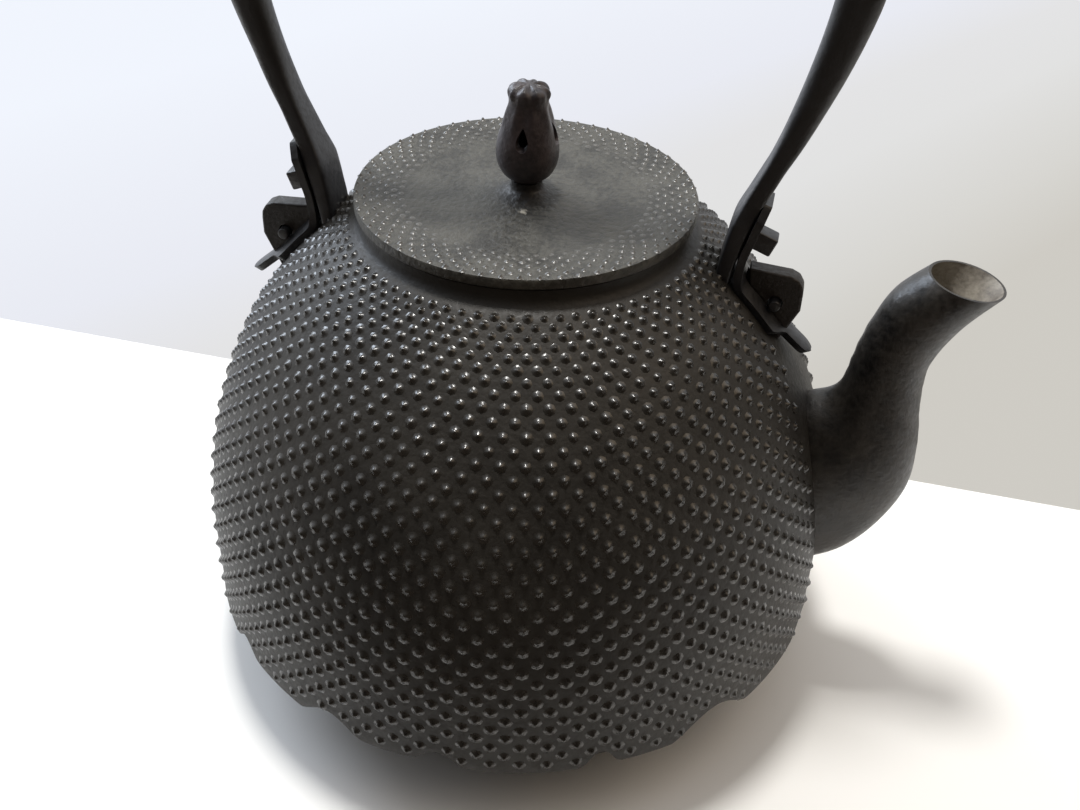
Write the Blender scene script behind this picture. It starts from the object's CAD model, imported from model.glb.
# Cast iron kettle with a hobnail body, a pierced bud knob and a standing bail,
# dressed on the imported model. Metres, +Z up, spout towards +X, bail in the XZ plane.
import math
import random

import bpy
from mathutils import Matrix, Vector


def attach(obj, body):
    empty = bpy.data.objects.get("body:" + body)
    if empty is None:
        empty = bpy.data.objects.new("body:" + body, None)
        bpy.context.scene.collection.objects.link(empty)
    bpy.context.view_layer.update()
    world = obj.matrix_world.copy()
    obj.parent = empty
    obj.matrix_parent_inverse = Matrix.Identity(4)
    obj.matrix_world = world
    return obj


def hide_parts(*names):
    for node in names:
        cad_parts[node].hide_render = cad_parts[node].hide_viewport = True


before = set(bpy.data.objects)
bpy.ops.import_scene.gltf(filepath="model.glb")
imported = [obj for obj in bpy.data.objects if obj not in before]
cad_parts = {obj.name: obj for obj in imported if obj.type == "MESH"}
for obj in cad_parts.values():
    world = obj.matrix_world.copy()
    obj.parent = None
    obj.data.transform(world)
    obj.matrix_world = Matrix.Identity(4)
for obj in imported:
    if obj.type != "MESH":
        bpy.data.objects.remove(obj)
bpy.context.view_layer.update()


# Camera: held above the table in front of the kettle and a little to its right,
# looking down over the lid, slightly rolled as a hand-held camera is.
camera_place = (0.0687, -0.2975, 0.3055)
heading, tilt, roll = (math.radians(a) for a in (11.95, 53.07, 2.13))
camera = bpy.data.objects.new("camera", bpy.data.cameras.new("camera"))
camera.data.lens = 43.33
camera.data.sensor_width = 36
camera.matrix_world = (
    Matrix.Translation(camera_place)
    @ Matrix.Rotation(heading, 4, "Z") @ Matrix.Rotation(tilt, 4, "X") @ Matrix.Rotation(roll, 4, "Z")
)
bpy.context.collection.objects.link(camera)
bpy.context.scene.camera = camera


# Body: one iron casting, a dome on an upright wall, with a smooth collar round the
# mouth and an open skirt whose edge was left ragged. Its wall is 2.5 mm thick.
body_radius = 0.091
body_wall = 0.0025
inner_radius = body_radius - body_wall
dome_base = 0.045
dome_rise = 0.108
skirt_edge = 0.0225
skirt_fade = 0.036
# The notches in the skirt's edge, seen in the photograph on the near side and guessed on
# the far side: degrees round the body, height, half the width in degrees.
skirt_notches = [
    (-158, 0.0050, 6.0), (-134, 0.0050, 4.5), (-110, 0.0058, 7.0), (-89.5, 0.0058, 5.0),
    (-62, 0.0066, 3.6), (-40, 0.0075, 9.0), (-9, 0.0045, 5.0), (15, 0.0060, 6.0),
    (41, 0.0050, 4.0), (63, 0.0065, 6.5), (88, 0.0055, 4.5), (111, 0.0060, 7.0),
    (136, 0.0050, 4.5), (158, 0.0065, 6.0), (180, 0.0055, 4.5),
]
# a ledge runs round inside, above the place where the base is let in
ledge_radius = 0.086
ledge_bottom = 0.041
ledge_top = 0.0455
shoulder_radius = 0.0465
collar_radius = 0.0438
collar_top = 0.14285
mouth_radius = 0.038


def dome_height(radius, inset=0.0):
    share = radius / (body_radius - inset)
    return dome_base + (dome_rise - inset) * math.sqrt(max(0.0, 1 - share * share))


def dome_points(inset, until_radius, steps):
    end = math.acos(until_radius / (body_radius - inset))
    return [
        ((body_radius - inset) * math.cos(end * i / steps),
         dome_base + (dome_rise - inset) * math.sin(end * i / steps))
        for i in range(steps + 1)
    ]


def add_object(name, points, edges=(), faces=()):
    mesh = bpy.data.meshes.new(name)
    mesh.from_pydata([tuple(p) for p in points], edges, faces)
    made = bpy.data.objects.new(name, mesh)
    bpy.context.collection.objects.link(made)
    return made


def pick_only(piece):
    """Deselects everything else and makes this piece the active one."""
    bpy.ops.object.select_all(action="DESELECT")
    piece.select_set(True)
    bpy.context.view_layer.objects.active = piece


def close_up(piece, smooth_angle=35):
    """Merges doubles, turns the faces outwards and sets the shading."""
    pick_only(piece)
    bpy.ops.object.mode_set(mode="EDIT")
    bpy.ops.mesh.select_all(action="SELECT")
    bpy.ops.mesh.remove_doubles(threshold=2e-6)
    bpy.ops.mesh.normals_make_consistent(inside=False)
    bpy.ops.object.mode_set(mode="OBJECT")
    bpy.ops.object.shade_smooth_by_angle(angle=math.radians(smooth_angle))


def turned(name, outline, steps, smooth_angle=35):
    """Spins an outline of (radius, height) round the Z axis. It closes on itself or ends on the axis."""
    points = [(r, 0, z) for r, z in outline]
    edges = [(i, i + 1) for i in range(len(points) - 1)]
    if outline[0][0] > 0:
        edges.append((len(points) - 1, 0))
    piece = add_object(name, points, edges)
    pick_only(piece)
    bpy.ops.object.mode_set(mode="EDIT")
    bpy.ops.mesh.select_all(action="SELECT")
    bpy.ops.mesh.spin(steps=steps, angle=2 * math.pi, center=(0, 0, 0), axis=(0, 0, 1))
    bpy.ops.object.mode_set(mode="OBJECT")
    close_up(piece, smooth_angle)
    return piece


def skirt_rise(angle):
    """How far the ragged edge stands above its lowest level."""
    rise = 0.0003 + 0.0007 * math.sin(4 * angle + 2) * math.sin(7 * angle)
    for place, height, half_width in skirt_notches:
        off = (math.degrees(angle) - place + 180) % 360 - 180
        if abs(off) < half_width:
            rise = max(rise, height * (0.5 + 0.5 * math.cos(math.pi * off / half_width)) ** 0.7)
    return rise


shoulder_height = dome_height(shoulder_radius)
body_outline = (
    [(inner_radius, skirt_edge + 0.0003), (inner_radius + 0.0004, skirt_edge),
     (body_radius - 0.0008, skirt_edge), (body_radius - 0.0001, skirt_edge + 0.0004),
     (body_radius + 0.0002, skirt_edge + 0.0014)]
    + [(body_radius, height) for height in (0.0265, 0.031, 0.036, 0.041)]
    + dome_points(0, shoulder_radius, 40)
    + [(collar_radius + 0.0019, shoulder_height + 0.0003), (collar_radius + 0.0010, shoulder_height + 0.0009),
       (collar_radius + 0.0003, shoulder_height + 0.0018), (collar_radius, shoulder_height + 0.0028),
       (collar_radius, collar_top - 0.0004), (collar_radius - 0.0004, collar_top),
       (mouth_radius + 0.0004, collar_top), (mouth_radius, collar_top - 0.0004),
       (mouth_radius, collar_top - 0.0053), (mouth_radius + 0.003, collar_top - 0.0061)]
    + [p for p in reversed(dome_points(body_wall, shoulder_radius, 24)) if p[1] > 0.05]
    + [(ledge_radius, ledge_top), (ledge_radius, ledge_bottom), (inner_radius, ledge_bottom)]
    + [(inner_radius, height) for height in (0.036, 0.030)]
)
body = turned("kettle_shell", body_outline, 340)
for vertex in body.data.vertices:
    if vertex.co.z < skirt_fade:
        share = (skirt_fade - vertex.co.z) / (skirt_fade - skirt_edge)
        vertex.co.z += share * skirt_rise(math.atan2(vertex.co.y, vertex.co.x))


def add_node(tree, kind, **settings):
    node = tree.nodes.new(kind)
    for name, value in settings.items():
        if name in node.inputs:
            node.inputs[name].default_value = value
        else:
            setattr(node, name, value)
    return node


def iron_skin_group():
    """Grain, pits and cloudy patches of cast iron. Puts out two masks and a height."""
    tree = bpy.data.node_groups.new("iron skin", "ShaderNodeTree")
    for name, value in (("Grain size", 0.0012), ("Cloud size", 0.03)):
        socket = tree.interface.new_socket(name, in_out="INPUT", socket_type="NodeSocketFloat")
        socket.default_value = value
    for name in ("Clouds", "Grain", "Height"):
        tree.interface.new_socket(name, in_out="OUTPUT", socket_type="NodeSocketFloat")
    inside = tree.nodes.new("NodeGroupInput")
    outside = tree.nodes.new("NodeGroupOutput")
    pit_share = 0.45
    place = add_node(tree, "ShaderNodeTexCoord")
    fine_scale, cloud_scale = (add_node(tree, "ShaderNodeMath", operation="DIVIDE") for _ in range(2))
    for scale, size in ((fine_scale, "Grain size"), (cloud_scale, "Cloud size")):
        scale.inputs[0].default_value = 1
        tree.links.new(inside.outputs[size], scale.inputs[1])
    grain = add_node(tree, "ShaderNodeTexNoise", Detail=3.0, Roughness=0.6)
    clouds = add_node(tree, "ShaderNodeTexNoise", Detail=4.0, Roughness=0.55)
    pits = add_node(tree, "ShaderNodeTexVoronoi", feature="SMOOTH_F1")
    for texture, scale in ((grain, fine_scale), (clouds, cloud_scale), (pits, fine_scale)):
        tree.links.new(place.outputs["Object"], texture.inputs["Vector"])
        tree.links.new(scale.outputs[0], texture.inputs["Scale"])
    mixed = add_node(tree, "ShaderNodeMath", operation="MULTIPLY_ADD")
    tree.links.new(pits.outputs["Distance"], mixed.inputs[0])
    mixed.inputs[1].default_value = pit_share
    tree.links.new(grain.outputs["Fac"], mixed.inputs[2])
    tree.links.new(clouds.outputs["Fac"], outside.inputs["Clouds"])
    tree.links.new(grain.outputs["Fac"], outside.inputs["Grain"])
    tree.links.new(mixed.outputs[0], outside.inputs["Height"])
    return tree


iron_skin = iron_skin_group()


def iron(name, dark, light, rough, grain_size=0.0012, depth=0.00012, specular=0.5, cloud_size=0.03,
         speckle=0.3):
    """Patinated iron: two tones mixed by clouds and grain, roughness by the grain, bump by the height."""
    material = bpy.data.materials.new(name)
    material.use_nodes = True
    tree = material.node_tree
    shader = tree.nodes["Principled BSDF"]
    skin = add_node(tree, "ShaderNodeGroup", node_tree=iron_skin)
    skin.inputs["Grain size"].default_value = grain_size
    skin.inputs["Cloud size"].default_value = cloud_size
    tone = add_node(tree, "ShaderNodeMix", data_type="RGBA")
    tone.inputs["A"].default_value = (*dark, 1)
    tone.inputs["B"].default_value = (*light, 1)
    mottle = add_node(tree, "ShaderNodeMath", operation="MULTIPLY_ADD")
    mottle.inputs[1].default_value = speckle
    sharpen = add_node(tree, "ShaderNodeMapRange")
    for socket, value in (("From Min", 0.35 + 0.5 * speckle), ("From Max", 0.65 + 0.5 * speckle)):
        sharpen.inputs[socket].default_value = value
    tree.links.new(skin.outputs["Grain"], mottle.inputs[0])
    tree.links.new(skin.outputs["Clouds"], mottle.inputs[2])
    tree.links.new(mottle.outputs[0], sharpen.inputs["Value"])
    tree.links.new(sharpen.outputs["Result"], tone.inputs["Factor"])
    tree.links.new(tone.outputs["Result"], shader.inputs["Base Color"])
    roughness = add_node(tree, "ShaderNodeMapRange")
    for socket, value in (("From Min", 0.3), ("From Max", 0.7), ("To Min", rough[0]), ("To Max", rough[1])):
        roughness.inputs[socket].default_value = value
    tree.links.new(skin.outputs["Grain"], roughness.inputs["Value"])
    tree.links.new(roughness.outputs["Result"], shader.inputs["Roughness"])
    bump = add_node(tree, "ShaderNodeBump", Distance=depth, Strength=1.0)
    tree.links.new(skin.outputs["Height"], bump.inputs["Height"])
    tree.links.new(bump.outputs["Normal"], shader.inputs["Normal"])
    shader.inputs["Specular IOR Level"].default_value = specular
    return material


cast_iron = iron("cast iron", (0.017, 0.0152, 0.0128), (0.033, 0.0298, 0.0252), (0.46, 0.62), specular=0.42)
body.data.materials.append(cast_iron)
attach(body, "kettle")
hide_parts("kettle_body")


# Hobnails: rings of small round studs cast with the body, 76 to a ring and each ring
# half a step round from the last. They grow and spread as the dome widens.
studs_per_ring = 76
first_stud_radius = 0.0476
stud_bottom = 0.0236
# from one ring to the next, near the collar, how much more each time, and at most
ring_step = 0.0023
ring_step_growth = 0.00012
ring_step_most = 0.00338
# across and high, near the collar and once they are fully grown
small_stud = (0.0027, 0.00082)
full_stud = (0.0038, 0.00100)
rings_until_grown = 22
# ground left bare of studs: round each lug, and an oval round the root of the spout
lug_ground_inner = 0.0545
lug_ground_outer = 0.0745
lug_ground_half = 0.0085
root_middle = 0.069
root_rise = 0.043
root_half = 0.0165


def stud_shape():
    """One stud, 1 across and 1 high: a soft cone whose flanks run out into the ground."""
    outline = [(0.5, -0.03), (0.36, 0.13), (0.21, 0.52), (0.10, 0.88)]
    around = 8
    points = [
        Vector((r * math.cos(2 * math.pi * k / around), r * math.sin(2 * math.pi * k / around), z))
        for r, z in outline for k in range(around)
    ] + [Vector((0, 0, 1))]
    faces = []
    for k in range(around):
        after = (k + 1) % around
        for ring in range(0, 3 * around, around):
            faces.append((ring + k, ring + after, ring + around + after, ring + around + k))
        faces.append((3 * around + k, 3 * around + after, 4 * around))
    return points, faces


def scatter(name, shape, places):
    """Copies a small shape to each place and joins the copies."""
    points, faces = [], []
    for place in places:
        start = len(points)
        points += [place @ p for p in shape[0]]
        faces += [tuple(start + i for i in face) for face in shape[1]]
    piece = add_object(name, points, (), faces)
    pick_only(piece)
    bpy.ops.object.shade_smooth()
    return piece


def down_the_dome():
    """Radius, height and outward slope at each ring of studs."""
    radius, height = first_stud_radius, dome_height(first_stud_radius)
    found = []
    step = ring_step
    angle = math.acos(radius / body_radius)
    while height > stud_bottom:
        normal = Vector((radius / body_radius ** 2, 0, (height - dome_base) / dome_rise ** 2))
        if height <= dome_base:
            normal = Vector((1, 0, 0))
        found.append((radius, height, normal.normalized()))
        travelled = 0.0
        while travelled < step:
            if height > dome_base:
                angle -= 0.0005
                new_radius = body_radius * math.cos(angle)
                new_height = dome_base + dome_rise * math.sin(angle)
            else:
                new_radius, new_height = body_radius, height - 0.0001
            travelled += math.hypot(new_radius - radius, new_height - height)
            radius, height = new_radius, new_height
        step = min(ring_step_most, step + ring_step_growth)
    return found


def is_bare(x, y, z):
    """Whether a place lies on the ground left bare round a lug or the spout's root."""
    if z > 0.1 and abs(y) < lug_ground_half and lug_ground_inner < abs(x) < lug_ground_outer:
        return True
    if x > 0.06 and 0.03 < z < 0.108:
        return abs(y) < root_half * math.sqrt(max(0, 1 - ((z - root_middle) / root_rise) ** 2))
    return False


def stud_places():
    spread = random.Random(5)
    places = []
    for number, (radius, height, normal) in enumerate(down_the_dome()):
        grown = min(1, number / rings_until_grown)
        across, high = (small + (full - small) * grown for small, full in zip(small_stud, full_stud))
        for k in range(studs_per_ring):
            angle = 2 * math.pi * (k + 0.5 * (number % 2)) / studs_per_ring
            angle += spread.uniform(-1, 1) * 0.0022
            x, y = radius * math.cos(angle), radius * math.sin(angle)
            z = height + spread.uniform(-1, 1) * 0.00012
            if height < skirt_edge + skirt_rise(angle) + 0.0008 or is_bare(x, y, z):
                continue
            size = spread.uniform(0.94, 1.08)
            lean = normal.to_track_quat("Z", "Y").to_matrix().to_4x4()
            places.append(
                Matrix.Rotation(angle, 4, "Z") @ Matrix.Translation((radius, 0, z)) @ lean
                @ Matrix.Diagonal((across * size, across * size, high * spread.uniform(0.9, 1.03), 1))
            )
    return places


hobnails = scatter("hobnails", stud_shape(), stud_places())
hobnails.data.materials.append(iron(
    "hobnail iron", (0.014, 0.0125, 0.0105), (0.027, 0.0243, 0.0206), (0.22, 0.34),
    depth=0.00004, specular=0.75,
))
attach(hobnails, "kettle")
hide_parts("kettle_body")


# Base: a separately cast bowl, let into the skirt from below and puttied there. It's
# left as cast and sooty, and it carries the kettle on a flat disc.
base_wall = 0.0032
flat_radius = 0.050
bowl_reach = 0.0382
bowl_height = 0.036
base_top = 0.0405


def bowl_arc(inset, degrees):
    """The quarter round between the flat disc and the bowl's upright wall."""
    return [
        (flat_radius + (bowl_reach - inset) * math.cos(math.radians(a)),
         bowl_height + (bowl_height - inset) * math.sin(math.radians(a)))
        for a in degrees
    ]


base_outline = (
    [(0, 0), (flat_radius - 0.0005, 0)]
    + bowl_arc(0, range(-88, 1, 4))
    + [(flat_radius + bowl_reach, base_top), (0.0852, base_top), (0.0850, bowl_height)]
    + bowl_arc(base_wall, range(-6, -91, -6))
    + [(0, base_wall)]
)
base = turned("base_bowl", base_outline, 128)
base.data.materials.append(iron(
    "sooty iron", (0.010, 0.009, 0.008), (0.022, 0.018, 0.015), (0.6, 0.85), grain_size=0.0016, depth=0.0002,
))
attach(base, "kettle")
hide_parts("base_plate")


# Spout: a hollow casting of its own, let into the wall over a hole. It swells out of
# the body, narrows to a neck and opens again into a thin, slanted lip.
spout_stations = [
    # outer line x and z, inner line x and z, half the width across
    (0.0840, 0.0370, 0.0720, 0.0890, 0.0150),
    (0.0973, 0.0448, 0.0800, 0.0950, 0.0145),
    (0.1063, 0.0565, 0.0855, 0.0975, 0.0135),
    (0.1120, 0.0710, 0.0883, 0.1005, 0.0122),
    (0.1122, 0.0850, 0.0896, 0.1055, 0.0108),
    (0.1102, 0.0990, 0.0907, 0.1125, 0.0096),
    (0.1102, 0.1120, 0.0928, 0.1210, 0.0090),
    (0.1155, 0.1245, 0.0970, 0.1315, 0.0091),
    (0.1240, 0.1360, 0.1042, 0.1392, 0.0092),
]
spout_wall = 0.0024
fitting_gap = 0.0002


def between(stations, share):
    """A row of numbers between the given rows, on a smooth curve through them."""
    spot = share * (len(stations) - 1)
    i = min(int(spot), len(stations) - 2)
    t = spot - i
    rows = [stations[max(0, min(len(stations) - 1, i + k))] for k in (-1, 0, 1, 2)]
    return [
        0.5 * (2 * b + (c - a) * t + (2 * a - 5 * b + 4 * c - d) * t * t
               + (3 * b - a - 3 * c + d) * t ** 3)
        for a, b, c, d in zip(*rows)
    ]


def skinned(name, rings, close_ends=True):
    """Joins rings of points, each with the same count, by faces."""
    around = len(rings[0])
    faces = []
    for r in range(len(rings) - 1):
        for k in range(around):
            a, b = r * around + k, r * around + (k + 1) % around
            faces.append((a, b, b + around, a + around))
    if close_ends:
        faces.append(tuple(range(around)))
        faces.append(tuple(reversed(range((len(rings) - 1) * around, len(rings) * around))))
    return add_object(name, [p for ring in rings for p in ring], (), faces)


def smooth_share(value, low, high):
    """0 below low, 1 above high, and an even swing between them."""
    t = min(1, max(0, (value - low) / (high - low)))
    return t * t * (3 - 2 * t)


def spout_ring(share, inset):
    around = 48
    out_x, out_z, in_x, in_z, half = between(spout_stations, share)
    centre = Vector(((out_x + in_x) / 2, 0, (out_z + in_z) / 2))
    reach = Vector((out_x - in_x, 0, out_z - in_z)) / 2
    deep = reach.length - inset
    reach.normalize()
    # soft wrinkles left by the casting run round the neck, on the outside only
    neck = smooth_share(share, 0.45, 0.58) * (1 - smooth_share(share, 0.68, 0.85)) * (inset == 0)
    ring = []
    for k in range(around):
        a = 2 * math.pi * k / around
        wrinkle = 1 + 0.016 * neck * math.sin(70 * share + 2 * math.sin(a)) * math.cos(a / 2 - 0.6)
        ring.append(centre + reach * deep * wrinkle * math.cos(a)
                    + Vector((0, (half - inset) * wrinkle * math.sin(a), 0)))
    return ring


def cut_away(piece, tool):
    """Cuts a tool's shape out of the piece and removes the tool."""
    pick_only(piece)
    cut = piece.modifiers.new("cut", "BOOLEAN")
    cut.operation = "DIFFERENCE"
    cut.solver = "EXACT"
    cut.object = tool
    bpy.ops.object.modifier_apply(modifier="cut")
    bpy.data.objects.remove(tool)


def envelope():
    """The space that the body fills, for cutting what is fitted to it."""
    side = [(0, 0.02), (body_radius - fitting_gap, 0.02)] + dome_points(fitting_gap, 0.004, 90)
    return turned("envelope", side + [(0, dome_height(0, fitting_gap))], 200)


lip_insets = (0.0002, 0.0005, 0.0007)
outer_rings = [spout_ring(i / 56, 0) for i in range(57)] + [spout_ring(1, inset) for inset in lip_insets[:2]]
inner_rings = [
    spout_ring(1 - i / 50, lip_insets[2] + (spout_wall - lip_insets[2]) * min(1, i / 12)) for i in range(51)
]
spout = skinned("cast_spout", outer_rings + inner_rings + outer_rings[:1], close_ends=False)
spout.data.materials.append(iron(
    "spout iron", (0.006, 0.0055, 0.0052), (0.034, 0.029, 0.0235), (0.34, 0.54),
    depth=0.00013, grain_size=0.0016, specular=0.55, cloud_size=0.011, speckle=0.5,
))
spout.data.materials.append(iron(
    "limed iron", (0.070, 0.055, 0.043), (0.36, 0.33, 0.28), (0.5, 0.7), depth=0.0001, cloud_size=0.012,
))
outer_faces = len(outer_rings) * len(outer_rings[0])
for face in spout.data.polygons:
    if face.index >= outer_faces:
        face.material_index = 1
close_up(spout, 40)
cut_away(spout, envelope())
close_up(spout, 40)
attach(spout, "kettle")
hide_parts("spout")


# Lugs: two ears cast on the shoulder in line with the spout. Each stands up through
# the slot of a bail strap and is drilled across for its pin.
lug_outline = [
    (0.0600, 0.1336), (0.0710, 0.1329), (0.0732, 0.1319), (0.0745, 0.1298), (0.0747, 0.1278),
    (0.0747, 0.1230), (0.0733, 0.1199), (0.0700, 0.1128), (0.0611, 0.1230),
]
lug_thickness = 0.005
pin_place = (0.0679, 0, 0.1246)
pin_radius = 0.0016
pin_length = 0.0092
drill_radius = 0.0020


def round_edges(piece, width, segments=3, sharper_than=30):
    """Rounds the edges that turn by more than so many degrees."""
    edge = piece.modifiers.new("edge", "BEVEL")
    edge.width = width
    edge.segments = segments
    edge.limit_method = "ANGLE"
    edge.angle_limit = math.radians(sharper_than)
    pick_only(piece)
    bpy.ops.object.modifier_apply(modifier="edge")


def plate_faces(count):
    """Faces of a plate whose two sides are outlines with the same count of points."""
    faces = [tuple(range(count)), tuple(reversed(range(count, 2 * count)))]
    return faces + [(k, count + k, count + (k + 1) % count, (k + 1) % count) for k in range(count)]


def slab(name, outline, thickness):
    """A flat plate with its outline in the XZ plane, centred on that plane."""
    points = [(x, side * thickness / 2, z) for side in (-1, 1) for x, z in outline]
    piece = add_object(name, points, (), plate_faces(len(outline)))
    close_up(piece)
    return piece


def rod(name, radius, length, centre):
    """A round bar along Y."""
    bpy.ops.object.select_all(action="DESELECT")
    bpy.ops.mesh.primitive_cylinder_add(
        vertices=32, radius=radius, depth=length, location=centre, rotation=(math.pi / 2, 0, 0),
    )
    piece = bpy.context.object
    piece.name = name
    bpy.ops.object.transform_apply(location=True, rotation=True, scale=True)
    return piece


def copy_to_back(piece, name):
    """A copy of its own, half a turn round the kettle."""
    pick_only(piece)
    bpy.ops.object.duplicate(linked=False)
    twin = bpy.context.object
    twin.name = name
    twin.data.transform(Matrix.Rotation(math.pi, 4, "Z"))
    return twin


lug = slab("lug_front", lug_outline, lug_thickness)
round_edges(lug, 0.0006, sharper_than=25)
cut_away(lug, rod("drill", drill_radius, 4 * lug_thickness, pin_place))
close_up(lug)
lug.data.materials.append(iron(
    "lug iron", (0.013, 0.010, 0.008), (0.024, 0.018, 0.014), (0.45, 0.65), depth=0.00015,
))
for ear in (lug, copy_to_back(lug, "lug_back")):
    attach(ear, "kettle")
    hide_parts("kettle_body")

forged_iron = iron(
    "forged iron", (0.009, 0.009, 0.011), (0.018, 0.018, 0.021), (0.34, 0.50), grain_size=0.0016,
    depth=0.0001, cloud_size=0.02, specular=0.7,
)
pin = rod("pin_front", pin_radius, pin_length, pin_place)
round_edges(pin, 0.0004)
pin.data.materials.append(forged_iron)
close_up(pin)
for bar, node in ((pin, "lug_pin_front"), (copy_to_back(pin, "pin_back"), "lug_pin_back")):
    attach(bar, "kettle")
    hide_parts(node)


# Bail: forged from sheet and closed into a hollow bar, flat and narrow at the feet and
# fuller over the crown. It stands by itself on the shoulder.
crown_half_span = 0.077
crown_base = 0.21503
crown_rise = 0.047
leg_points = [
    (0.0532, 0.1280), (0.0541, 0.1345), (0.0549, 0.1385), (0.0558, 0.1430), (0.0568, 0.1470),
    (0.0587, 0.1520), (0.0622, 0.1604), (0.0657, 0.1690), (0.0689, 0.1783), (0.0717, 0.1874),
    (0.0741, 0.1967), (0.0759, 0.2059), (crown_half_span, crown_base),
]
leg_line = [Vector((x, 0, z)) for x, z in (between(leg_points, k / 60) for k in range(61))]
crown_line = [
    Vector((crown_half_span * math.cos(a), 0, crown_base + crown_rise * math.sin(a)))
    for a in (math.pi * k / 80 for k in range(1, 80))
]
bail_line = leg_line + crown_line + [Vector((-p.x, 0, p.z)) for p in reversed(leg_line)]
bail_sections = [
    # height, thickness, width
    (0.128, 0.0040, 0.0128), (0.137, 0.0043, 0.0132), (0.147, 0.0050, 0.0128), (0.1525, 0.0048, 0.0104),
    (0.163, 0.0050, 0.0088), (0.175, 0.0070, 0.0086), (0.188, 0.0088, 0.0090), (0.205, 0.0108, 0.0102),
    (0.235, 0.0116, 0.0122), (0.263, 0.0120, 0.0134),
]


def bail_section(height):
    """Thickness and width at a height."""
    for low, high in zip(bail_sections, bail_sections[1:]):
        if height < high[0]:
            break
    share = min(1, max(0, (height - low[0]) / (high[0] - low[0])))
    return [a + (b - a) * share for a, b in zip(low[1:], high[1:])]


def bail_ring(i):
    around = 28
    here = bail_line[i]
    along = (bail_line[min(i + 1, len(bail_line) - 1)] - bail_line[max(i - 1, 0)]).normalized()
    outward = Vector((along.z, 0, -along.x))
    thick, wide = bail_section(here.z)
    # the flat foot has nearly square corners, and they grow rounder up the leg
    squareness = 7.5 - 4.8 * smooth_share(here.z, 0.15, 0.18)
    power = 2 / squareness
    ring = []
    for k in range(around):
        c, s = (f(2 * math.pi * (k + 0.5) / around) for f in (math.cos, math.sin))
        ring.append(
            here + outward * (thick / 2 * math.copysign(abs(c) ** power, c))
            + Vector((0, wide / 2 * math.copysign(abs(s) ** power, s), 0))
        )
    return ring


bail = skinned("forged_bail", [bail_ring(i) for i in range(len(bail_line))])
close_up(bail, 50)
cut_away(bail, envelope())
close_up(bail, 50)
bail.data.materials.append(forged_iron)
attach(bail, "kettle")
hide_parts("bail")


# Straps: flat forged straps on the outer side of the feet. Each is slotted to drop over
# its lug, bends out along the shoulder and ends in a lifted tail.
strap_line = [
    (0.0626, 0.1530), (0.0616, 0.1502), (0.0605, 0.1468), (0.0595, 0.1430), (0.0586, 0.1400),
    (0.0580, 0.1370), (0.0578, 0.1342), (0.0583, 0.1314), (0.0599, 0.1290), (0.0634, 0.1253),
    (0.0675, 0.1206), (0.0709, 0.1169), (0.0748, 0.1134), (0.0785, 0.1102),
]
strap_thickness = 0.0021
strap_half = 0.007
tongue_half = 0.0029
slot_half = 0.0028
chamfer = 0.0030
hammered_down = 0.0009
# places along the strap, counted in points of its line
chamfer_end = 1.3
bend_start, bend_end = 5.5, 8
slot_start, slot_end = 7.3, 10.5
tongue_start, tongue_full = 10.3, 11.3


def strap_half_width(spot):
    """Chamfered at the top, wide past the lug, then a narrow tongue with a round tip."""
    last = len(strap_line) - 1
    wide = strap_half - chamfer * (1 - min(1, spot / chamfer_end))
    narrow = tongue_half * math.sqrt(max(0.04, 1 - max(0, 1 - (last - spot) / 0.7) ** 2))
    share = smooth_share(spot, tongue_start, tongue_full)
    return wide * (1 - share) + narrow * share


def strap(name):
    rows = 104
    points, faces = [], []
    for r in range(rows + 1):
        spot = r / rows * (len(strap_line) - 1)
        half = strap_half_width(spot)
        inner = min(slot_half, 0.6 * half)
        x, z = between(strap_line, r / rows)
        # past the bend the sides are hammered down towards the dome
        drop = hammered_down * smooth_share(spot, bend_start, bend_end)
        drop *= (half - inner) / (strap_half - slot_half)
        points += [(x - drop, -half, z - drop), (x, -inner, z), (x, inner, z), (x - drop, half, z - drop)]
    for r in range(rows):
        spot = (r + 0.5) / rows * (len(strap_line) - 1)
        for c in range(3):
            if c == 1 and slot_start < spot < slot_end:
                continue
            a = 4 * r + c
            faces.append((a, a + 1, a + 5, a + 4))
    piece = add_object(name, points, (), faces)
    pick_only(piece)
    wall = piece.modifiers.new("wall", "SOLIDIFY")
    wall.thickness = strap_thickness
    wall.offset = 0
    bpy.ops.object.modifier_apply(modifier="wall")
    close_up(piece)
    round_edges(piece, 0.0005, segments=2, sharper_than=40)
    bpy.ops.object.shade_smooth_by_angle(angle=math.radians(35))
    return piece


strap_front = strap("strap_front")
strap_front.data.materials.append(forged_iron)
strap_back = copy_to_back(strap_front, "strap_back")
for band, node in ((strap_front, "bail_strap_front"), (strap_back, "bail_strap_back")):
    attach(band, "kettle")
    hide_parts(node)


# Pegs: square forged pegs driven through strap and foot, with the head left standing
# proud on the outer side.
peg_size = 0.0052
peg_place = (0.0593, 0, 0.1425)
peg_tilt = math.radians(21)
peg_outward = 0.0066
peg_inward = 0.0056
bpy.ops.object.select_all(action="DESELECT")
bpy.ops.mesh.primitive_cube_add(size=1, location=(0, 0, 0))
peg = bpy.context.object
peg.name = "peg_front"
peg.data.transform(
    Matrix.Translation(peg_place) @ Matrix.Rotation(peg_tilt, 4, "Y")
    @ Matrix.Translation(((peg_outward - peg_inward) / 2, 0, 0))
    @ Matrix.Diagonal((peg_outward + peg_inward, peg_size, peg_size, 1))
)
round_edges(peg, 0.0005)
close_up(peg)
peg.data.materials.append(forged_iron)
for block, node in ((peg, "bail_peg_front"), (copy_to_back(peg, "peg_back"), "bail_peg_back")):
    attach(block, "kettle")
    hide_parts(node)


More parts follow.
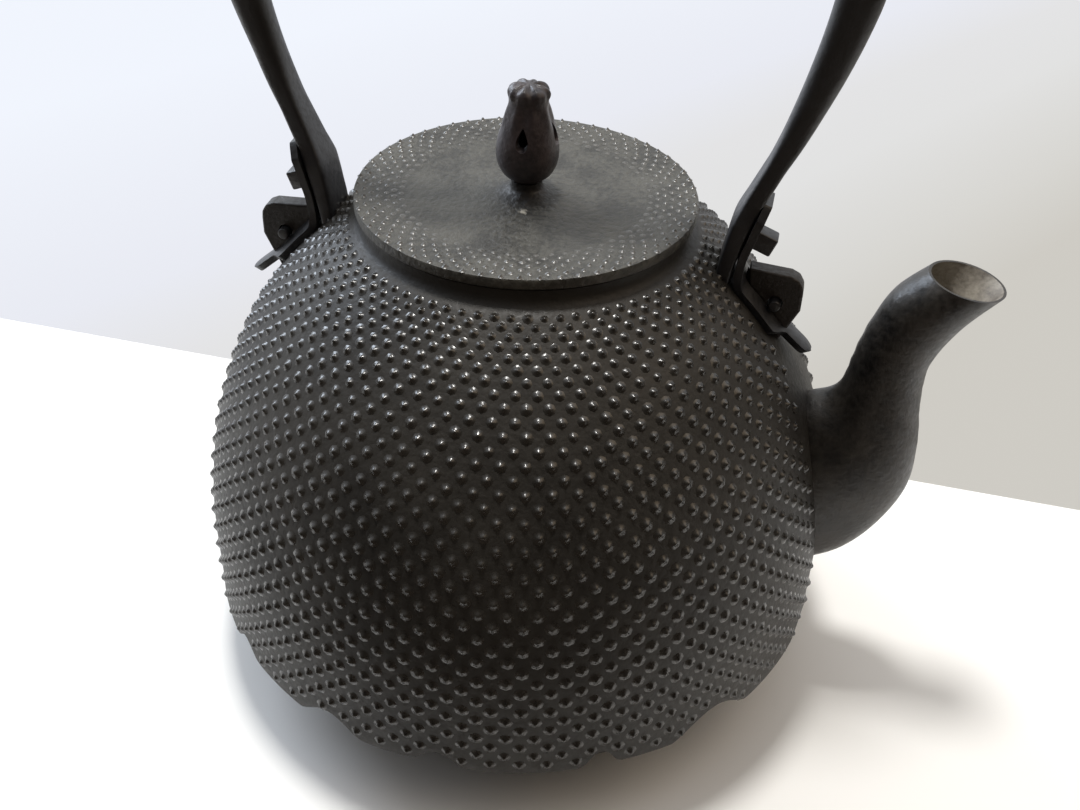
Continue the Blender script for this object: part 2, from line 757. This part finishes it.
# Lid: a cast disc, slightly dished between its rim and a soft boss, with rows of tiny
# studs near the rim and a flange below that fits the mouth.
lid_radius = 0.045
lid_bottom = 0.14315
lid_top = 0.14615
lid_dish = 0.0008
flange_outer = 0.0373
flange_inner = 0.0343
flange_bottom = 0.1366
shank_hole = 0.0025
boss_top = 0.14960
boss_middle = (0, -0.001, 0.1470)
rubbed_patch = (0.0017, -0.0107, 0.1461)


def lid_face(radius):
    """Height of the lid's dished upper side."""
    return lid_top - lid_dish * smooth_share(lid_radius - 0.0005 - radius, 0, 0.018)


lid_outline = (
    [(shank_hole, lid_bottom - 0.0005), (flange_inner, lid_bottom - 0.0005),
     (flange_inner, flange_bottom + 0.0003), (flange_inner + 0.0003, flange_bottom),
     (flange_outer - 0.0003, flange_bottom), (flange_outer, flange_bottom + 0.0003),
     (flange_outer, lid_bottom),
     (lid_radius - 0.0005, lid_bottom), (lid_radius, lid_bottom + 0.0005), (lid_radius, lid_top - 0.0005),
     (lid_radius - 0.0002, lid_top - 0.0001), (lid_radius - 0.0006, lid_top)]
    + [(radius, lid_face(radius)) for radius in (0.043, 0.040, 0.037, 0.034, 0.030, 0.026, 0.020)]
    + [(0.015, 0.14540), (0.012, 0.14550), (0.0096, 0.14574), (0.0078, 0.14604), (0.0062, 0.14648),
       (0.0050, 0.14702), (0.0043, 0.14776), (0.0041, 0.14850), (0.0041, boss_top - 0.0001),
       (0.0039, boss_top), (shank_hole, boss_top)]
)
lid = turned("cast_lid", lid_outline, 160)
lid_iron = iron(
    "lid iron", (0.026, 0.0245, 0.021), (0.070, 0.067, 0.057), (0.40, 0.62),
    grain_size=0.0015, depth=0.00040, cloud_size=0.011, speckle=0.9,
)
# the boss is darker than the disc, and a small patch in front of it is rubbed bare
tree = lid_iron.node_tree
place = add_node(tree, "ShaderNodeTexCoord")
ragged = add_node(tree, "ShaderNodeTexNoise", Scale=700.0)
tree.links.new(place.outputs["Object"], ragged.inputs["Vector"])
for centre, inner, outer, raggedness, tone in (
        (boss_middle, 0.0040, 0.0105, 0.002, (0.014, 0.0115, 0.0105, 1)),
        (rubbed_patch, 0.0021, 0.0028, 0.003, (0.36, 0.34, 0.29, 1))):
    off = add_node(tree, "ShaderNodeVectorMath", operation="DISTANCE")
    off.inputs[1].default_value = centre
    blurred = add_node(tree, "ShaderNodeMath", operation="MULTIPLY_ADD")
    blurred.inputs[1].default_value = raggedness
    near = add_node(tree, "ShaderNodeMapRange")
    near.inputs["From Min"].default_value = outer
    near.inputs["From Max"].default_value = inner
    stained = add_node(tree, "ShaderNodeMix", data_type="RGBA")
    stained.inputs["B"].default_value = tone
    colour = tree.nodes["Principled BSDF"].inputs["Base Color"]
    tree.links.new(place.outputs["Object"], off.inputs[0])
    tree.links.new(ragged.outputs["Fac"], blurred.inputs[0])
    tree.links.new(off.outputs["Value"], blurred.inputs[2])
    tree.links.new(blurred.outputs[0], near.inputs["Value"])
    tree.links.new(near.outputs["Result"], stained.inputs["Factor"])
    tree.links.new(colour.links[0].from_socket, stained.inputs["A"])
    tree.links.new(stained.outputs["Result"], colour)
lid.data.materials.append(lid_iron)
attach(lid, "lid")
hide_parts("lid")

# Rim studs: seven rings of them, each half a step round from the last and a little lower.
rim_rings = 7
rim_ring_gap = 0.0019
outer_ring_radius = 0.0441
lid_studs_per_ring = 60
lid_stud_across = 0.0018
lid_stud_high = 0.00072
rim_places = []
for row in range(rim_rings):
    radius = outer_ring_radius - rim_ring_gap * row
    spread = random.Random(row)
    for k in range(lid_studs_per_ring):
        angle = 2 * math.pi * (k + 0.5 * (row % 2) + spread.uniform(-0.06, 0.06)) / lid_studs_per_ring
        across = lid_stud_across * spread.uniform(0.85, 1.15)
        high = (lid_stud_high - 0.00008 * row) * spread.uniform(0.7, 1.15)
        rim_places.append(
            Matrix.Rotation(angle, 4, "Z") @ Matrix.Translation((radius, 0, lid_face(radius)))
            @ Matrix.Diagonal((across, across, high, 1))
        )
rim_studs = scatter("lid_studs", stud_shape(), rim_places)
rim_studs.data.materials.append(iron(
    "worn iron", (0.045, 0.042, 0.036), (0.075, 0.070, 0.062), (0.26, 0.40), depth=0.00003, specular=0.8,
))
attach(rim_studs, "lid")
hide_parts("lid")


# Knob: a hollow cast bud on a shank that is spread under a washer below the lid. Its
# crown is ruffled into petals and its belly pierced by four teardrops.
knob_foot = 0.14985
knob_turn = math.radians(1)
bud_outline = [
    (0.00400, knob_foot), (0.00500, 0.15050), (0.00660, 0.15205), (0.00775, 0.15450), (0.00815, 0.15740),
    (0.00782, 0.16060), (0.00685, 0.16440), (0.00590, 0.16780), (0.00518, 0.17020), (0.00508, 0.17160),
    (0.00526, 0.17290), (0.00518, 0.17380), (0.00435, 0.17475), (0.00240, 0.17545), (0.00000, 0.17560),
]
shank_radius = 0.0022
shank_end_radius = 0.0040
shank_bottom = 0.1392
crown_base_height, crown_full_height = 0.1712, 0.1732
bud_wall = 0.0021
hole_middle = 0.1635
hole_half_length = 0.0027
hole_half_width = 0.0014


def wrapped(angle):
    """Degrees from the nearest of the four holes, -45 to 45."""
    return (math.degrees(angle) + 45) % 90 - 45


bud_outer = [between(bud_outline, k / 78) for k in range(79)]
shank = [
    (0, shank_bottom), (shank_end_radius - 0.0008, shank_bottom), (shank_end_radius, shank_bottom + 0.0009),
    (shank_end_radius, 0.14085), (shank_radius, 0.14085), (shank_radius, knob_foot),
    (0.0034, knob_foot - 0.0001),
]
knob = turned("bud_knob", shank + bud_outer[:-1] + [(0, bud_outer[-1][1])], 120)
for vertex in knob.data.vertices:
    place, angle = vertex.co, math.atan2(vertex.co.y, vertex.co.x)
    radius = math.hypot(place.x, place.y)
    if place.z < knob_foot + 0.001 or radius < 0.0005:
        continue
    # a groove runs up from each hole to the crown, with a fold standing on both its sides
    upward = smooth_share(place.z, 0.1630, 0.1665) * (1 - smooth_share(place.z, 0.1690, crown_base_height))
    off = wrapped(angle)
    groove = math.exp(-(off / 11) ** 2)
    fold = math.exp(-((abs(off) - 24) / 9) ** 2)
    swell = upward * (0.00024 * fold - 0.00042 * groove)
    # the crown is gathered into eight lumps
    crown = smooth_share(place.z, crown_base_height, crown_full_height)
    gathers = 0.00020 * math.cos(8 * angle + 0.6 * math.sin(3 * angle)) + 0.00012 * math.cos(13 * angle)
    swell += crown * gathers
    place.x *= 1 + swell / radius
    place.y *= 1 + swell / radius
    if place.z > 0.1735:
        lumps = 0.00024 * math.cos(8 * angle + 0.9) + 0.00014 * math.cos(5 * angle + 2)
        place.z += lumps * smooth_share(radius, 0.0005, 0.0030)
close_up(knob, 60)
hollow_low, hollow_high = 0.1516, 0.1723
hollow_side = [(r - bud_wall, z) for r, z in bud_outer if hollow_low + 0.0004 < z < hollow_high - 0.0001]
cut_away(knob, turned("hollow", [(0, hollow_low)] + hollow_side + [(0, hollow_high)], 64))


def teardrop(angle):
    """A cutter, pointed at the top, that runs out from the middle of the bud."""
    turns = [2 * math.pi * k / 28 for k in range(28)]
    outline = [
        (hole_half_width * 1.35 * math.sin(t) * math.sin(t / 2) ** 1.3, hole_half_length * math.cos(t))
        for t in turns
    ]
    points = [
        (x * grow, -depth, hole_middle + z * grow)
        for depth, grow in ((0.0030, 0.7), (0.0105, 1.5)) for x, z in outline
    ]
    cutter = add_object("teardrop", points, (), plate_faces(len(outline)))
    cutter.data.transform(Matrix.Rotation(angle, 4, "Z"))
    close_up(cutter)
    return cutter


for quarter in range(4):
    cut_away(knob, teardrop(quarter * math.pi / 2))
knob.data.transform(Matrix.Rotation(knob_turn, 4, "Z"))
close_up(knob, 60)
knob.data.materials.append(iron(
    "knob iron", (0.026, 0.021, 0.025), (0.072, 0.056, 0.058), (0.30, 0.48),
    depth=0.00016, cloud_size=0.008, speckle=0.5, specular=0.6,
))
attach(knob, "knob")
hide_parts("lid_knob")


# Washer: a plain iron washer between the lid and the spread end of the shank. Its
# CAD solid is right, so it only gets its material.
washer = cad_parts["knob_washer"]
washer.data.materials.clear()
washer.data.materials.append(forged_iron)


# Table: a brown table with a sheet of white paper that ends just behind the kettle, and
# a pale ground beyond both. The kettle's shadow falls on the paper.
paper_left, paper_right, paper_front = -0.75, 0.36, -0.125
paper_back_middle = 0.094
paper_back_slope = -0.018
table_reach = 4
ground_back = 6
table_level = -0.001
ground_level = -0.0005


def plain(name, colour, rough=0.9):
    """A matt surface of one colour."""
    material = bpy.data.materials.new(name)
    material.use_nodes = True
    shader = material.node_tree.nodes["Principled BSDF"]
    shader.inputs["Base Color"].default_value = (*colour, 1)
    shader.inputs["Roughness"].default_value = rough
    shader.inputs["Specular IOR Level"].default_value = 0.1
    return material


def sheet(name, left, right, front, back, level):
    """A level four-sided sheet. Front and back are functions of x."""
    corners = [(left, front(left), level), (right, front(right), level), (right, back(right), level),
               (left, back(left), level)]
    return add_object(name, corners, (), [(0, 1, 2, 3)])


def paper_back(x):
    return paper_back_middle + paper_back_slope * x


paper = sheet("paper", paper_left, paper_right, lambda x: paper_front, paper_back, 0)
paper.data.materials.append(plain("white paper", (0.88, 0.875, 0.86)))
table = sheet("table", -table_reach, table_reach, lambda x: -table_reach, paper_back, table_level)
table.data.materials.append(plain("brown table", (0.10, 0.080, 0.062), 0.5))
ground = sheet("ground", -table_reach, table_reach, paper_back, lambda x: ground_back, ground_level)


def colour_ramp(tree, stops):
    """A ramp with these stops only, without the two that a new one has."""
    ramp = add_node(tree, "ShaderNodeValToRGB")
    for position, colour in stops:
        ramp.color_ramp.elements.new(position).color = (*colour, 1)
    ramp.color_ramp.elements.remove(ramp.color_ramp.elements[-1])
    ramp.color_ramp.elements.remove(ramp.color_ramp.elements[0])
    return ramp


# seen by the camera and in reflections, the ground has the photograph's pale tones
backdrop = plain("pale ground", (0.42, 0.42, 0.43))
tree = backdrop.node_tree
place = add_node(tree, "ShaderNodeTexCoord")
across = add_node(tree, "ShaderNodeVectorMath", operation="DOT_PRODUCT")
across.inputs[1].default_value = (-1, 0.7, 0)
span = add_node(tree, "ShaderNodeMapRange")
span.inputs["From Max"].default_value = 0.56
tones = colour_ramp(tree, (
    (0.02, (0.62, 0.600, 0.555)), (0.12, (0.685, 0.675, 0.645)), (0.28, (0.760, 0.760, 0.757)),
    (0.40, (0.775, 0.775, 0.785)), (0.54, (0.815, 0.831, 0.896)), (0.98, (0.880, 0.915, 0.990)),
))
glow = add_node(tree, "ShaderNodeEmission")
seen = add_node(tree, "ShaderNodeLightPath")
direct = add_node(tree, "ShaderNodeMath", operation="MAXIMUM")
mixed = add_node(tree, "ShaderNodeMixShader")
tree.links.new(place.outputs["Object"], across.inputs[0])
tree.links.new(across.outputs["Value"], span.inputs["Value"])
tree.links.new(span.outputs["Result"], tones.inputs["Fac"])
tree.links.new(tones.outputs["Color"], glow.inputs["Color"])
tree.links.new(seen.outputs["Is Camera Ray"], direct.inputs[0])
tree.links.new(seen.outputs["Is Glossy Ray"], direct.inputs[1])
tree.links.new(direct.outputs[0], mixed.inputs["Fac"])
tree.links.new(tree.nodes["Principled BSDF"].outputs["BSDF"], mixed.inputs[1])
tree.links.new(glow.outputs["Emission"], mixed.inputs[2])
tree.links.new(mixed.outputs["Shader"], tree.nodes["Material Output"].inputs["Surface"])
ground.data.materials.append(backdrop)


# Light: one small lamp almost overhead, a cool window on the left and behind, and a
# weak warm glow from the right. The room is pale behind the kettle and dim in front.
lamp_target = Vector((0, 0, 0.08))
pale_side = Vector((-0.35, 0.80, 0.50)).normalized()


def lamp(name, place, size, power, colour):
    """A round area lamp that points at the kettle."""
    light = bpy.data.lights.new(name, "AREA")
    light.shape = "DISK"
    light.size = size
    light.energy = power
    light.color = colour
    made = bpy.data.objects.new(name, light)
    made.location = place
    made.rotation_euler = (lamp_target - Vector(place)).to_track_quat("-Z", "Y").to_euler()
    bpy.context.collection.objects.link(made)


lamp("overhead lamp", (-0.115, 0.10, 1.35), 0.22, 12.5, (1.0, 0.98, 0.94))
lamp("window", (-1.3, 0.7, 0.9), 0.9, 17, (0.78, 0.87, 1.0))
lamp("warm glow", (0.9, 0.05, 1.1), 1.3, 3.8, (1.0, 0.76, 0.50))

world = bpy.data.worlds.new("room")
bpy.context.scene.world = world
world.use_nodes = True
room = world.node_tree
direction = add_node(room, "ShaderNodeTexCoord")
facing = add_node(room, "ShaderNodeVectorMath", operation="DOT_PRODUCT")
facing.inputs[1].default_value = pale_side
shades = colour_ramp(room, (
    (0.25, (0.055, 0.045, 0.037)), (0.50, (0.17, 0.16, 0.15)),
    (0.78, (0.80, 0.82, 0.86)), (0.98, (0.95, 0.98, 1.0)),
))
stretched = add_node(room, "ShaderNodeMapRange")
stretched.inputs["From Min"].default_value = -1
room.links.new(direction.outputs["Generated"], facing.inputs[0])
room.links.new(facing.outputs["Value"], stretched.inputs["Value"])
room.links.new(stretched.outputs["Result"], shades.inputs["Fac"])
room.links.new(shades.outputs["Color"], room.nodes["Background"].inputs["Color"])
bpy.context.scene.view_settings.view_transform = "Standard"
